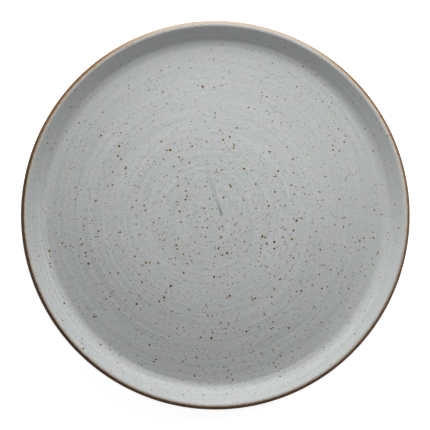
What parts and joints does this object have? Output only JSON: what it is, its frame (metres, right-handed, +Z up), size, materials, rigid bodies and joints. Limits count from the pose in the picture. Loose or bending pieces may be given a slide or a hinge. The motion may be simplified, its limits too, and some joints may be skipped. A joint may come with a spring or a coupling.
{
  "type": "pizza plate",
  "caption": "Round glazed stoneware pizza plate with a wide floor, a low sloping wall, a rounded lip edged in brown and a bare foot ring.",
  "frame": {"origin": "on the plate's axis, at the level that its foot ring stands on", "axes": "+Z up along the plate's axis, towards the side that food goes on"},
  "size_m": [0.33, 0.33, 0.025],
  "materials": {
    "stoneware": "matte",
    "grey_glaze": "satin",
    "brown_glaze": "satin"
  },
  "bodies": {
    "root": {"stoneware_body": "stoneware", "upper_glaze": "grey_glaze", "rim_band": "brown_glaze", "underside_glaze": "grey_glaze", "base_glaze": "grey_glaze"}
  },
  "joints": []
}
